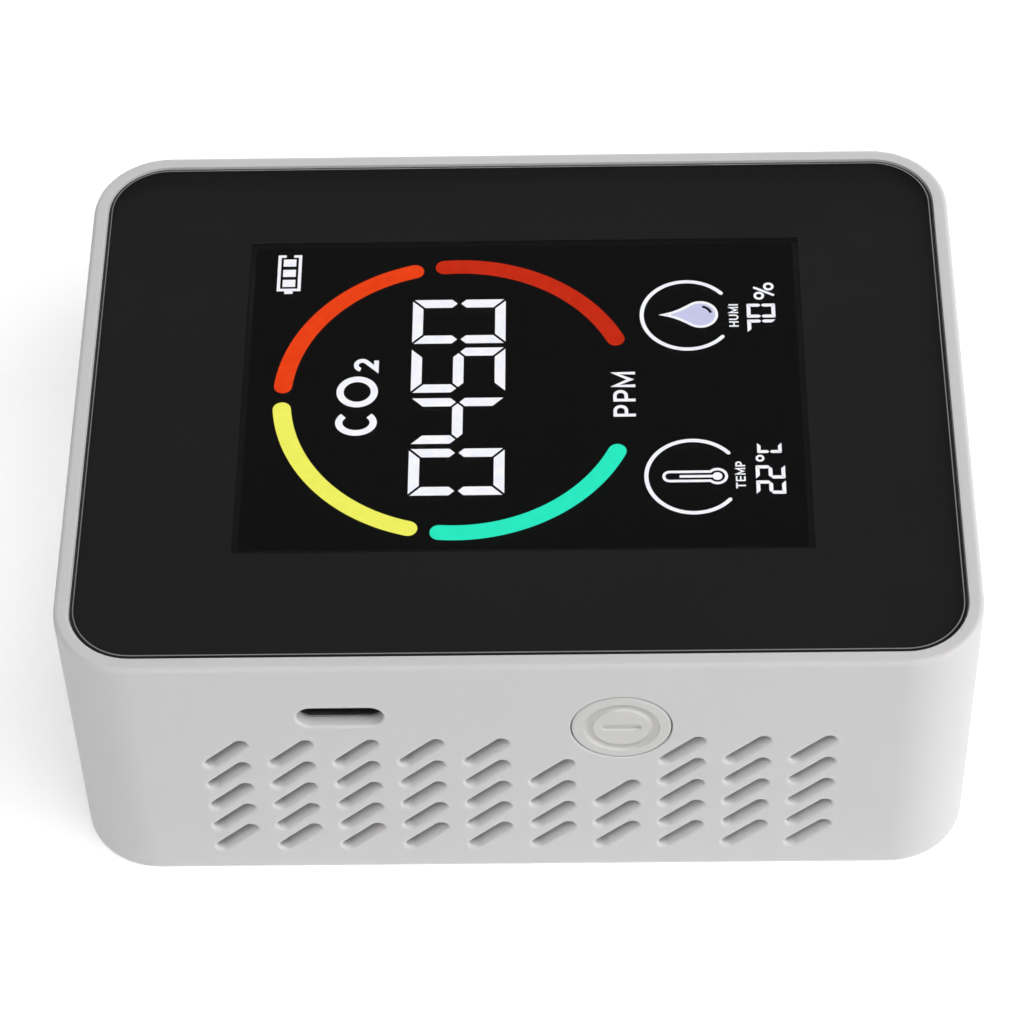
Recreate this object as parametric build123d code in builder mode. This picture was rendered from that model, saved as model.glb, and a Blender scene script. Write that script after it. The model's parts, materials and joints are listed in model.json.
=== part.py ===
from build123d import *
import math
import os

# Air quality monitor, lying on its back with the display up. Millimetres.
# Origin: middle of the underside. +Z up, +X along the long side. The vented wall, with the
# USB opening and the button, is the one that faces -Y and is called the front wall here.

os.makedirs("parts", exist_ok=True)

# ---- driving dimensions -------------------------------------------------------------------

# Shell
body_length = 92.0
body_width = 70.0
body_height = 34.5
body_corner_radius = 8.0
wall = 1.8
rim_edge_fillet = 0.5
base_edge_fillet = 0.6

# Lens and what bonds it to the shell
rim_width = 1.5
lens_recess = 0.12
lens_thickness = 0.8
lens_clearance = 0.12
lens_chamfer_width = 0.35
lens_chamfer_drop = 0.15
lens_arris = 0.06            # small second bevel where the chamfer meets the top
mask_thickness = 0.1
tape_thickness = 0.2
tape_width = 5.0
tape_inset = 0.3
ledge_thickness = 1.6

# Display module
display_x = 0.5
display_y = 1.25
window_length = 58.5
window_width = 42.6
module_length = 69.2
module_width = 50.0
module_clearance = 0.4
module_gap = 0.05
frame_sheet = 0.3
frame_lip = 0.2
frame_window_margin = 1.2
panel_thickness = 1.1
backlight_thickness = 1.05
panel_clearance = 0.2
flex_width = 18.0
flex_thickness = 0.2
flex_start = 24.0
flex_bend_radius = 1.0
connector_depth = 3.5
connector_height = 1.6
connector_side = 2.0
connector_gap_x = 1.7
connector_slot_depth = 1.2
connector_entry_height = 0.6
carrier_inset = 1.8
carrier_wall = 2.0
carrier_notch_depth = 1.2

# Air vents: slanted slots in columns and rows on the front wall
vent_width = 1.35
vent_run = 4.4
vent_angle = 45.0
vent_column_pitch = 6.55
vent_row_pitch = 3.66
vent_top_drop = 14.4
vent_end_margin = 6.0
vent_base_margin = 3.0
vent_button_gap = 1.0
vent_edge_fillet = 0.35
vent_rise_angle = 22.0       # the vents slope up towards the inside, square to their length

# USB-C receptacle and its opening
usb_x = -17.75
usb_drop = 8.1
usb_width = 8.94
usb_height = 3.26
usb_depth = 7.35
usb_sheet = 0.3
usb_setback = 0.05
usb_slot_inset = 0.13
usb_slot_fillet = 0.25
usb_lip = 1.3                # wall left in front of the receptacle, which sits in a recess
usb_recess_clearance = 0.2
tongue_width = 6.7
tongue_thickness = 0.7
tongue_setback = 0.9
tongue_base_depth = 1.5
tongue_clearance = 0.02

# Power button
button_x = 10.15
button_drop = 10.2
button_radius = 5.0
button_clearance = 0.1
button_edge_fillet = 0.3
button_hole_fillet = 0.12
button_groove_inner = 2.8
button_groove_outer = 3.85
button_groove_depth = 0.36
button_dash_length = 3.8
button_dash_width = 0.8
button_dash_depth = 0.25
button_dash_fillet = 0.2
button_flange_overlap = 0.9
button_flange_thickness = 0.9
button_flange_gap = 0.05
button_post_radius = 0.9
button_travel = 0.35

# Side-push switch behind the button
switch_width = 6.0
switch_depth = 3.5
switch_height = 2.2
switch_cover_sheet = 0.15
switch_axis_height = 1.12
plunger_width = 2.4
plunger_height = 1.1
plunger_reach = 1.0
plunger_seat = 1.2
plunger_clearance = 0.05
plunger_gap = 0.03
switch_setback = 2.6

# Circuit board
board_thickness = 1.2
board_wall_gap = 1.2
board_boss_gap = 0.6
board_button_gap = 0.5
board_hole_gap = 0.25

# Posts and screws that hold the board to the shell
post_inset_x = 4.6
post_spacing_y = 36.0
post_radius = 2.6
board_screw_shank = 0.75
board_screw_length = 6.0
board_screw_head_radius = 1.7
board_screw_head = 1.0

# Back cover, its bosses and screws
cover_thickness = 2.0
cover_clearance = 0.15
cover_edge_chamfer = 0.3
boss_inset = 5.0
boss_radius = 3.2
boss_rib = 1.6
boss_bore_margin = 1.8
cover_screw_shank = 1.0
cover_screw_length = 8.0
cover_screw_head_radius = 2.0
cover_screw_head = 1.0
cover_screw_sink = 0.2
cover_screw_seat_gap = 0.25
cover_hole_gap = 0.2
screw_bore_gap = 0.05
screw_recess_length = 2.2
screw_recess_width = 0.5
screw_recess_depth = 0.6
screw_head_fillet = 0.25

# Components on the board
controller_size = 7.0
controller_height = 0.9
controller_x = 2.0
controller_y = 3.0
charger_length = 5.0
charger_width = 4.0
charger_height = 1.5
charger_x = -21.0
charger_y = -8.0
charger_pin_count = 4
charger_pin_pitch = 1.2
charger_pin_width = 0.4
charger_pin_length = 0.9
charger_pin_height = 0.3
inductor_size = 6.0
inductor_height = 3.0
inductor_corner_radius = 1.2
inductor_x = -21.0
inductor_y = 9.0

# CO2 sensor, hanging under the board behind the vents
sensor_length = 34.0
sensor_width = 21.0
sensor_board_thickness = 1.0
sensor_board_gap = 2.2
sensor_case_margin = 0.8
sensor_case_height = 8.5
sensor_case_fillet = 1.0
sensor_x = -14.0
sensor_wall_gap = 1.9
filter_radius = 3.0
filter_spacing = 16.0
filter_thickness = 0.3
pin_width = 0.6
pin_count = 5
pin_pitch = 2.54
pin_row_inset = 1.6

# Temperature and humidity chip
climate_size = 3.0
climate_height = 1.1
climate_x = 28.0
climate_wall_gap = 4.2

# Battery and its wiring
battery_length = 50.0
battery_width = 34.0
battery_height = 9.0
battery_edge_fillet = 1.5
battery_x = 0.0
battery_y = 10.0
battery_tape_length = 40.0
battery_tape_width = 22.0
battery_tape_thickness = 0.3
bay_rib_thickness = 1.0
bay_rib_height = 3.0
bay_clearance = 0.5
header_length = 8.0
header_width = 5.8
header_height = 6.0
header_wall = 0.7
header_gap = 9.0
plug_height = 5.5
plug_seat = 3.2
plug_clearance = 0.1
lead_radius = 0.5
lead_spacing = 2.5
lead_bend_radius = 4.0

# ---- sizes that follow from them ----------------------------------------------------------

# Heights, from the rim down
lens_top = body_height - lens_recess
lens_bottom = lens_top - lens_thickness
mask_bottom = lens_bottom - mask_thickness
ledge_top = mask_bottom - tape_thickness
ledge_bottom = ledge_top - ledge_thickness
module_top = mask_bottom - module_gap
panel_top = module_top - frame_lip
panel_bottom = panel_top - panel_thickness
module_bottom = panel_bottom - backlight_thickness
usb_z = body_height - usb_drop
button_z = body_height - button_drop
board_top = usb_z - usb_height / 2
board_bottom = board_top - board_thickness

# USB opening, button and front wall
usb_slot_width = usb_width - 2 * usb_slot_inset
usb_slot_height = usb_height - 2 * usb_slot_inset
button_hole_radius = button_radius + button_clearance
button_flange_radius = button_radius + button_flange_overlap
front_y = -body_width / 2
front_inner_y = front_y + wall
front_plane = Plane.XZ.offset(body_width / 2)

# Inside of the shell
cavity_length = body_length - 2 * wall
cavity_width = body_width - 2 * wall
cavity_radius = body_corner_radius - wall
pocket_length = body_length - 2 * rim_width
pocket_width = body_width - 2 * rim_width
pocket_radius = body_corner_radius - rim_width
lens_length = pocket_length - 2 * lens_clearance
lens_width = pocket_width - 2 * lens_clearance
lens_radius = pocket_radius - lens_clearance
panel_length = module_length - 2 * (frame_sheet + panel_clearance)
panel_width = module_width - 2 * (frame_sheet + panel_clearance)
display_center = (display_x, display_y)
carrier_length = module_length - 2 * carrier_inset
carrier_width = module_width - 2 * carrier_inset

# Screw places
boss_x = cavity_length / 2 - boss_inset
boss_y = cavity_width / 2 - boss_inset
boss_places = [(x, y) for x in (-boss_x, boss_x) for y in (-boss_y, boss_y)]
boss_rib_reach = cavity_radius - (cavity_radius - boss_inset) * math.sqrt(2) + wall / 2
boss_bore_radius = cover_screw_shank + screw_bore_gap
cover_screw_tip = cover_screw_sink + cover_screw_head + cover_screw_length
boss_bore_depth = cover_screw_tip - cover_thickness + boss_bore_margin
post_x = cavity_length / 2 - post_inset_x
post_places = [(x, y) for x in (-post_x, post_x) for y in (-post_spacing_y / 2, post_spacing_y / 2)]

post_bore_radius = board_screw_shank + screw_bore_gap

# Board outline
board_length = cavity_length - 2 * board_wall_gap
board_width = cavity_width - 2 * board_wall_gap
board_corner_x = boss_x - boss_radius - board_boss_gap
board_corner_y = boss_y - boss_radius - board_boss_gap
board_hole_radius = board_screw_shank + board_hole_gap
flange_back_y = front_inner_y + button_flange_gap + button_flange_thickness
board_notch_y = flange_back_y + button_travel + board_button_gap

# Switch
switch_front_y = flange_back_y + switch_setback
switch_z = board_top + switch_axis_height
plunger_front_y = switch_front_y - plunger_reach

# CO2 sensor
sensor_y = front_inner_y + sensor_wall_gap + sensor_width / 2
sensor_top = board_bottom - sensor_board_gap
sensor_board_bottom = sensor_top - sensor_board_thickness
sensor_case_bottom = sensor_board_bottom - sensor_case_height

# Battery and plug
battery_bottom = cover_thickness + battery_tape_thickness
lead_z = battery_bottom + battery_height / 2
header_x = battery_x + battery_length / 2 + header_gap
header_bottom = board_bottom - header_height
plug_bottom = header_bottom + plug_seat - plug_height
lead_bend = min(lead_bend_radius, plug_bottom - lead_z - lead_radius)

# Air vents
vent_rise = math.radians(vent_rise_angle)
vent_turn = math.radians(vent_angle)
vent_length = wall / math.cos(vent_rise)
vent_direction = Vector(
    -math.sin(vent_rise) * math.sin(vent_turn),
    math.cos(vent_rise),
    math.sin(vent_rise) * math.cos(vent_turn),
)


def vent_reach():
    """How far a slot extends from its centre, along X and along Z."""
    return vent_run / 2 * math.cos(vent_turn) + vent_width / 2


def clear_of_button(place_x, place_z):
    """Whether a slot centred here leaves enough wall between itself and the button's hole."""
    slope_x = math.cos(vent_turn)
    slope_z = math.sin(vent_turn)
    along = (button_x - place_x) * slope_x + (button_z - place_z) * slope_z
    along = max(-vent_run / 2, min(vent_run / 2, along))
    to_button_x = button_x - place_x - along * slope_x
    to_button_z = button_z - place_z - along * slope_z
    wall_left = math.hypot(to_button_x, to_button_z) - vent_width / 2 - button_hole_radius
    return wall_left >= vent_button_gap


def vent_places():
    """Slot centres that fill the flat of the front wall, less those too near the button."""
    flat_length = body_length - 2 * (body_corner_radius + vent_end_margin)
    columns = math.floor((flat_length - 2 * vent_reach()) / vent_column_pitch) + 1
    first_z = body_height - vent_top_drop
    rows = math.floor((first_z - vent_reach() - vent_base_margin) / vent_row_pitch) + 1
    places = []
    for column in range(columns):
        place_x = (column - (columns - 1) / 2) * vent_column_pitch
        for row in range(rows):
            place_z = first_z - row * vent_row_pitch
            if clear_of_button(place_x, place_z):
                places.append((place_x, place_z))
    return places


def on_front_face(edges):
    """Those of the edges that lie in the outer face of the front wall."""
    tolerance = 0.001
    return edges.filter_by_position(Axis.Y, front_y - tolerance, front_y + tolerance)


# ---- shell --------------------------------------------------------------------------------

with BuildPart() as housing:
    with BuildSketch():
        RectangleRounded(body_length, body_width, body_corner_radius)
    extrude(amount=body_height)
    fillet(housing.edges().group_by(Axis.Z)[-1], rim_edge_fillet)
    fillet(housing.edges().group_by(Axis.Z)[0], base_edge_fillet)
    # Cavity, open at the underside
    with BuildSketch():
        RectangleRounded(cavity_length, cavity_width, cavity_radius)
    extrude(amount=ledge_bottom, mode=Mode.SUBTRACT)
    # Pocket for the lens
    with BuildSketch(Plane.XY.offset(ledge_top)):
        RectangleRounded(pocket_length, pocket_width, pocket_radius)
    extrude(amount=body_height - ledge_top, mode=Mode.SUBTRACT)
    # Opening for the display module
    with BuildSketch(Plane.XY.offset(ledge_bottom)):
        with Locations(display_center):
            Rectangle(module_length + 2 * module_clearance, module_width + 2 * module_clearance)
    extrude(amount=ledge_thickness, mode=Mode.SUBTRACT)
    # Corner bosses for the back cover, tied to the wall by ribs
    with BuildSketch(Plane.XY.offset(cover_thickness)):
        for place_x, place_y in boss_places:
            outward = math.degrees(math.atan2(math.copysign(1, place_y), math.copysign(1, place_x)))
            with Locations((place_x, place_y)):
                Circle(boss_radius)
                Rectangle(boss_rib_reach, boss_rib, rotation=outward, align=(Align.MIN, Align.CENTER))
    extrude(amount=ledge_bottom - cover_thickness)
    with BuildSketch(Plane.XY.offset(cover_thickness)):
        with Locations(*boss_places):
            Circle(boss_bore_radius)
    extrude(amount=boss_bore_depth, mode=Mode.SUBTRACT)
    # Posts for the board
    with BuildSketch(Plane.XY.offset(board_top)):
        with Locations(*post_places):
            Circle(post_radius)
    extrude(amount=ledge_bottom - board_top)
    with BuildSketch(Plane.XY.offset(board_top)):
        with Locations(*post_places):
            Circle(post_bore_radius)
    extrude(amount=board_screw_length, mode=Mode.SUBTRACT)
    # Air vents
    with BuildSketch(front_plane):
        with Locations(*vent_places()):
            SlotCenterToCenter(vent_run, vent_width, rotation=vent_angle)
    extrude(amount=vent_length, dir=vent_direction, mode=Mode.SUBTRACT)
    fillet(on_front_face(housing.edges(Select.LAST)), vent_edge_fillet)
    # USB opening
    with BuildSketch(front_plane):
        with Locations((usb_x, usb_z)):
            SlotOverall(usb_slot_width, usb_slot_height)
    extrude(amount=-wall, mode=Mode.SUBTRACT)
    fillet(on_front_face(housing.edges(Select.LAST)), usb_slot_fillet)
    # Recess for the receptacle's front end
    with BuildSketch(Plane.XZ.offset(-(front_y + usb_lip))):
        with Locations((usb_x, usb_z)):
            SlotOverall(usb_width + 2 * usb_recess_clearance, usb_height + 2 * usb_recess_clearance)
    extrude(amount=-(wall - usb_lip), mode=Mode.SUBTRACT)
    # Button hole
    with BuildSketch(front_plane):
        with Locations((button_x, button_z)):
            Circle(button_hole_radius)
    extrude(amount=-wall, mode=Mode.SUBTRACT)
    fillet(on_front_face(housing.edges(Select.LAST)), button_hole_fillet)
housing.part.label = "housing"
export_step(housing.part, "parts/housing.step")

# ---- lens ---------------------------------------------------------------------------------

with BuildPart() as front_lens:
    with BuildSketch(Plane.XY.offset(lens_bottom)):
        RectangleRounded(lens_length, lens_width, lens_radius)
    extrude(amount=lens_thickness)
    lens_face = front_lens.faces().sort_by(Axis.Z)[-1]
    chamfer(lens_face.edges(), lens_chamfer_width, lens_chamfer_drop, reference=lens_face)
    chamfer(front_lens.edges().group_by(Axis.Z)[-1], lens_arris)
front_lens.part.label = "front_lens"
export_step(front_lens.part, "parts/front_lens.step")

with BuildPart() as lens_mask:
    with BuildSketch(Plane.XY.offset(mask_bottom)):
        RectangleRounded(lens_length, lens_width, lens_radius)
        with Locations(display_center):
            Rectangle(window_length, window_width, mode=Mode.SUBTRACT)
    extrude(amount=mask_thickness)
lens_mask.part.label = "lens_mask"
export_step(lens_mask.part, "parts/lens_mask.step")

with BuildPart() as lens_tape:
    with BuildSketch(Plane.XY.offset(ledge_top)):
        RectangleRounded(lens_length - 2 * tape_inset, lens_width - 2 * tape_inset, lens_radius - tape_inset)
        tape_opening = tape_inset + tape_width
        Rectangle(lens_length - 2 * tape_opening, lens_width - 2 * tape_opening, mode=Mode.SUBTRACT)
    extrude(amount=tape_thickness)
lens_tape.part.label = "lens_tape"
export_step(lens_tape.part, "parts/lens_tape.step")

# ---- display module -----------------------------------------------------------------------

with BuildPart() as display_frame:
    with BuildSketch(Plane.XY.offset(module_bottom)):
        with Locations(display_center):
            Rectangle(module_length, module_width)
    extrude(amount=module_top - module_bottom)
    with BuildSketch(Plane.XY.offset(module_bottom)):
        with Locations(display_center):
            Rectangle(module_length - 2 * frame_sheet, module_width - 2 * frame_sheet)
    extrude(amount=panel_top - module_bottom, mode=Mode.SUBTRACT)
    with BuildSketch(Plane.XY.offset(panel_top)):
        with Locations(display_center):
            Rectangle(window_length + 2 * frame_window_margin, window_width + 2 * frame_window_margin)
    extrude(amount=frame_lip, mode=Mode.SUBTRACT)
display_frame.part.label = "display_frame"
export_step(display_frame.part, "parts/display_frame.step")

with BuildPart() as display_panel:
    with BuildSketch(Plane.XY.offset(panel_bottom)):
        with Locations(display_center):
            Rectangle(panel_length, panel_width)
    extrude(amount=panel_thickness)
display_panel.part.label = "display_panel"
export_step(display_panel.part, "parts/display_panel.step")

with BuildPart() as display_backlight:
    with BuildSketch(Plane.XY.offset(module_bottom)):
        with Locations(display_center):
            Rectangle(panel_length, panel_width)
    extrude(amount=backlight_thickness)
display_backlight.part.label = "display_backlight"
export_step(display_backlight.part, "parts/display_backlight.step")

# Ribbon: out along the module's back, down beside the carrier and into the connector
flex_top_z = module_bottom - flex_thickness / 2
flex_low_z = board_top + connector_entry_height
flex_bend_x = display_x + carrier_length / 2 + connector_gap_x
connector_x = flex_bend_x + connector_gap_x
with BuildPart() as display_flex:
    with BuildSketch(Plane.XZ.offset(-display_y)):
        with BuildLine():
            FilletPolyline(
                (display_x + flex_start, flex_top_z),
                (flex_bend_x, flex_top_z),
                (flex_bend_x, flex_low_z),
                (connector_x + connector_slot_depth, flex_low_z),
                radius=flex_bend_radius,
            )
        trace(line_width=flex_thickness)
    extrude(amount=flex_width / 2, both=True)
display_flex.part.label = "display_flex"
export_step(display_flex.part, "parts/display_flex.step")

with BuildPart() as flex_connector:
    with BuildSketch(Plane.XY.offset(board_top)):
        with Locations((connector_x, display_y)):
            Rectangle(connector_depth, flex_width + 2 * connector_side, align=(Align.MIN, Align.CENTER))
    extrude(amount=connector_height)
    with BuildSketch(Plane.XY.offset(flex_low_z - flex_thickness / 2)):
        with Locations((connector_x, display_y)):
            Rectangle(connector_slot_depth, flex_width, align=(Align.MIN, Align.CENTER))
    extrude(amount=flex_thickness, mode=Mode.SUBTRACT)
flex_connector.part.label = "flex_connector"
export_step(flex_connector.part, "parts/flex_connector.step")

# Moulded frame that stands on the board and holds the module up under the lens
with BuildPart() as display_carrier:
    with BuildSketch(Plane.XY.offset(board_top)):
        with Locations(display_center):
            Rectangle(carrier_length, carrier_width)
            Rectangle(carrier_length - 2 * carrier_wall, carrier_width - 2 * carrier_wall, mode=Mode.SUBTRACT)
    extrude(amount=module_bottom - board_top)
    with BuildSketch(Plane.XY.offset(module_bottom)):
        with Locations((display_x + carrier_length / 2, display_y)):
            Rectangle(2 * carrier_wall, flex_width + carrier_wall, align=(Align.MAX, Align.CENTER))
    extrude(amount=-carrier_notch_depth, mode=Mode.SUBTRACT)
display_carrier.part.label = "display_carrier"
export_step(display_carrier.part, "parts/display_carrier.step")

# ---- circuit board ------------------------------------------------------------------------

with BuildPart() as main_board:
    with BuildSketch(Plane.XY.offset(board_bottom)):
        Rectangle(board_length, board_width)
        # Corners cut away round the cover bosses
        corner_cut_x = board_length / 2 - board_corner_x
        corner_cut_y = board_width / 2 - board_corner_y
        for side_x in (-1, 1):
            for side_y in (-1, 1):
                with Locations(
                    (
                        side_x * (board_corner_x + corner_cut_x / 2),
                        side_y * (board_corner_y + corner_cut_y / 2),
                    )
                ):
                    Rectangle(corner_cut_x, corner_cut_y, mode=Mode.SUBTRACT)
        # Room for the button's flange over its travel
        notch_depth = board_notch_y + board_width / 2
        with Locations((button_x, -board_width / 2)):
            Rectangle(
                2 * (button_flange_radius + board_button_gap),
                notch_depth,
                align=(Align.CENTER, Align.MIN),
                mode=Mode.SUBTRACT,
            )
        with Locations(*post_places):
            Circle(board_hole_radius, mode=Mode.SUBTRACT)
    extrude(amount=board_thickness)
main_board.part.label = "main_board"
export_step(main_board.part, "parts/main_board.step")

with BuildPart() as board_screws:
    with BuildSketch(Plane.XY.offset(board_bottom)):
        with Locations(*post_places):
            Circle(board_screw_head_radius)
    extrude(amount=-board_screw_head)
    fillet(board_screws.edges().group_by(Axis.Z)[0], screw_head_fillet)
    with BuildSketch(Plane.XY.offset(board_bottom)):
        with Locations(*post_places):
            Circle(board_screw_shank)
    extrude(amount=board_screw_length)
    with BuildSketch(Plane.XY.offset(board_bottom - board_screw_head)):
        with Locations(*post_places):
            Rectangle(screw_recess_length, screw_recess_width)
            Rectangle(screw_recess_width, screw_recess_length)
    extrude(amount=screw_recess_depth, mode=Mode.SUBTRACT)
board_screws.part.label = "board_screws"
export_step(board_screws.part, "parts/board_screws.step")

# ---- USB-C receptacle ---------------------------------------------------------------------

usb_mouth_y = front_y + usb_lip + usb_setback
usb_mouth = Plane.XZ.offset(-usb_mouth_y)
with BuildPart() as usb_shell:
    with BuildSketch(usb_mouth):
        with Locations((usb_x, usb_z)):
            SlotOverall(usb_width, usb_height)
    extrude(amount=-usb_depth)
    with BuildSketch(usb_mouth):
        with Locations((usb_x, usb_z)):
            SlotOverall(usb_width - 2 * usb_sheet, usb_height - 2 * usb_sheet)
    extrude(amount=-(usb_depth - usb_sheet), mode=Mode.SUBTRACT)
usb_shell.part.label = "usb_shell"
export_step(usb_shell.part, "parts/usb_shell.step")

with BuildPart() as usb_tongue:
    with BuildSketch(Plane.XZ.offset(-(usb_mouth_y + usb_depth - usb_sheet))):
        with Locations((usb_x, usb_z)):
            SlotOverall(
                usb_width - 2 * (usb_sheet + tongue_clearance),
                usb_height - 2 * (usb_sheet + tongue_clearance),
            )
    extrude(amount=tongue_base_depth)
    with BuildSketch(Plane.XZ.offset(-(usb_mouth_y + tongue_setback))):
        with Locations((usb_x, usb_z)):
            Rectangle(tongue_width, tongue_thickness)
    extrude(amount=-(usb_depth - usb_sheet - tongue_setback - tongue_base_depth / 2))
usb_tongue.part.label = "usb_tongue"
export_step(usb_tongue.part, "parts/usb_tongue.step")

# ---- power button and its switch ----------------------------------------------------------

button_axis = Axis((button_x, 0, button_z), (0, 1, 0))
flange_front_y = front_inner_y + button_flange_gap
with BuildPart() as power_button:
    # Half section of the cap, turned about the button's axis
    with BuildSketch(Plane.XY.offset(button_z)):
        with BuildLine():
            groove_mid = (button_groove_inner + button_groove_outer) / 2
            groove_start = (button_x + button_groove_inner, front_y)
            groove_end = (button_x + button_groove_outer, front_y)
            Line((button_x, front_y), groove_start)
            ThreePointArc(groove_start, (button_x + groove_mid, front_y + button_groove_depth), groove_end)
            Polyline(
                groove_end,
                (button_x + button_radius, front_y),
                (button_x + button_radius, flange_front_y),
                (button_x + button_flange_radius, flange_front_y),
                (button_x + button_flange_radius, flange_back_y),
                (button_x, flange_back_y),
                (button_x, front_y),
            )
        make_face()
    revolve(axis=button_axis)
    cap_edges = on_front_face(power_button.edges()).filter_by(GeomType.CIRCLE)
    fillet(cap_edges.sort_by(SortBy.RADIUS)[-1], button_edge_fillet)
    # Short engraved dash
    with BuildSketch(front_plane):
        with Locations((button_x, button_z)):
            SlotOverall(button_dash_length, button_dash_width)
    extrude(amount=-button_dash_depth, mode=Mode.SUBTRACT)
    fillet(on_front_face(power_button.edges(Select.LAST)), button_dash_fillet)
    # Post that reaches the switch
    with BuildSketch(Plane.XZ.offset(-flange_back_y)):
        with Locations((button_x, switch_z)):
            Circle(button_post_radius)
    extrude(amount=-(plunger_front_y - plunger_gap - flange_back_y))
power_button.part.label = "power_button"
export_step(power_button.part, "parts/power_button.step")

with BuildPart() as switch_body:
    with BuildSketch(Plane.XY.offset(board_top)):
        with Locations((button_x, switch_front_y)):
            Rectangle(switch_width, switch_depth, align=(Align.CENTER, Align.MIN))
    extrude(amount=switch_height)
    # Socket that the plunger slides in
    with BuildSketch(Plane.XZ.offset(-switch_front_y)):
        with Locations((button_x, switch_z)):
            Rectangle(plunger_width + 2 * plunger_clearance, plunger_height + 2 * plunger_clearance)
    extrude(amount=-(plunger_seat + button_travel + plunger_clearance), mode=Mode.SUBTRACT)
switch_body.part.label = "switch_body"
export_step(switch_body.part, "parts/switch_body.step")

with BuildPart() as switch_cover:
    with BuildSketch(Plane.XY.offset(board_top)):
        with Locations((button_x, switch_front_y)):
            Rectangle(switch_width + 2 * switch_cover_sheet, switch_depth, align=(Align.CENTER, Align.MIN))
    extrude(amount=switch_height + switch_cover_sheet)
    with BuildSketch(Plane.XY.offset(board_top)):
        with Locations((button_x, switch_front_y)):
            Rectangle(switch_width, switch_depth, align=(Align.CENTER, Align.MIN))
    extrude(amount=switch_height, mode=Mode.SUBTRACT)
switch_cover.part.label = "switch_cover"
export_step(switch_cover.part, "parts/switch_cover.step")

with BuildPart() as switch_plunger:
    with BuildSketch(Plane.XZ.offset(-plunger_front_y)):
        with Locations((button_x, switch_z)):
            Rectangle(plunger_width, plunger_height)
    extrude(amount=-(plunger_reach + plunger_seat))
switch_plunger.part.label = "switch_plunger"
export_step(switch_plunger.part, "parts/switch_plunger.step")

# ---- components on the board --------------------------------------------------------------

with BuildPart() as controller_chip:
    with BuildSketch(Plane.XY.offset(board_top)):
        with Locations((controller_x, controller_y)):
            Rectangle(controller_size, controller_size)
    extrude(amount=controller_height)
controller_chip.part.label = "controller_chip"
export_step(controller_chip.part, "parts/controller_chip.step")

with BuildPart() as charger_chip:
    with BuildSketch(Plane.XY.offset(board_top)):
        with Locations((charger_x, charger_y)):
            Rectangle(charger_length, charger_width)
    extrude(amount=charger_height)
    with BuildSketch(Plane.XY.offset(board_top)):
        with Locations((charger_x, charger_y)):
            with GridLocations(charger_pin_pitch, charger_width + charger_pin_length, charger_pin_count, 2):
                Rectangle(charger_pin_width, charger_pin_length)
    extrude(amount=charger_pin_height)
charger_chip.part.label = "charger_chip"
export_step(charger_chip.part, "parts/charger_chip.step")

with BuildPart() as power_inductor:
    with BuildSketch(Plane.XY.offset(board_top)):
        with Locations((inductor_x, inductor_y)):
            RectangleRounded(inductor_size, inductor_size, inductor_corner_radius)
    extrude(amount=inductor_height)
power_inductor.part.label = "power_inductor"
export_step(power_inductor.part, "parts/power_inductor.step")

with BuildPart() as climate_sensor:
    with BuildSketch(Plane.XY.offset(board_bottom)):
        with Locations((climate_x, front_inner_y + climate_wall_gap)):
            Rectangle(climate_size, climate_size)
    extrude(amount=-climate_height)
climate_sensor.part.label = "climate_sensor"
export_step(climate_sensor.part, "parts/climate_sensor.step")

# ---- CO2 sensor ---------------------------------------------------------------------------

with BuildPart() as co2_sensor_board:
    with BuildSketch(Plane.XY.offset(sensor_board_bottom)):
        with Locations((sensor_x, sensor_y)):
            Rectangle(sensor_length, sensor_width)
    extrude(amount=sensor_board_thickness)
co2_sensor_board.part.label = "co2_sensor_board"
export_step(co2_sensor_board.part, "parts/co2_sensor_board.step")

with BuildPart() as co2_sensor_case:
    with BuildSketch(Plane.XY.offset(sensor_case_bottom)):
        with Locations((sensor_x, sensor_y)):
            Rectangle(sensor_length - 2 * sensor_case_margin, sensor_width - 2 * sensor_case_margin)
    extrude(amount=sensor_case_height)
    fillet(co2_sensor_case.edges().group_by(Axis.Z)[0], sensor_case_fillet)
co2_sensor_case.part.label = "co2_sensor_case"
export_step(co2_sensor_case.part, "parts/co2_sensor_case.step")

with BuildPart() as co2_sensor_filters:
    with BuildSketch(Plane.XY.offset(sensor_case_bottom)):
        with Locations((sensor_x, sensor_y)):
            with GridLocations(filter_spacing, 0, 2, 1):
                Circle(filter_radius)
    extrude(amount=-filter_thickness)
co2_sensor_filters.part.label = "co2_sensor_filters"
export_step(co2_sensor_filters.part, "parts/co2_sensor_filters.step")

with BuildPart() as co2_sensor_pins:
    with BuildSketch(Plane.XY.offset(sensor_top)):
        with Locations((sensor_x, sensor_y)):
            pin_row_spacing = sensor_length - 2 * pin_row_inset
            with GridLocations(pin_row_spacing, pin_pitch, 2, pin_count):
                Rectangle(pin_width, pin_width)
    extrude(amount=sensor_board_gap)
co2_sensor_pins.part.label = "co2_sensor_pins"
export_step(co2_sensor_pins.part, "parts/co2_sensor_pins.step")

# ---- battery ------------------------------------------------------------------------------

battery_center = (battery_x, battery_y)
with BuildPart() as battery_cell:
    with BuildSketch(Plane.XY.offset(battery_bottom)):
        with Locations(battery_center):
            Rectangle(battery_length, battery_width)
    extrude(amount=battery_height)
    fillet(battery_cell.edges().filter_by(Axis.X), battery_edge_fillet)
battery_cell.part.label = "battery_cell"
export_step(battery_cell.part, "parts/battery_cell.step")

with BuildPart() as battery_tape:
    with BuildSketch(Plane.XY.offset(cover_thickness)):
        with Locations(battery_center):
            Rectangle(battery_tape_length, battery_tape_width)
    extrude(amount=battery_tape_thickness)
battery_tape.part.label = "battery_tape"
export_step(battery_tape.part, "parts/battery_tape.step")

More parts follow.
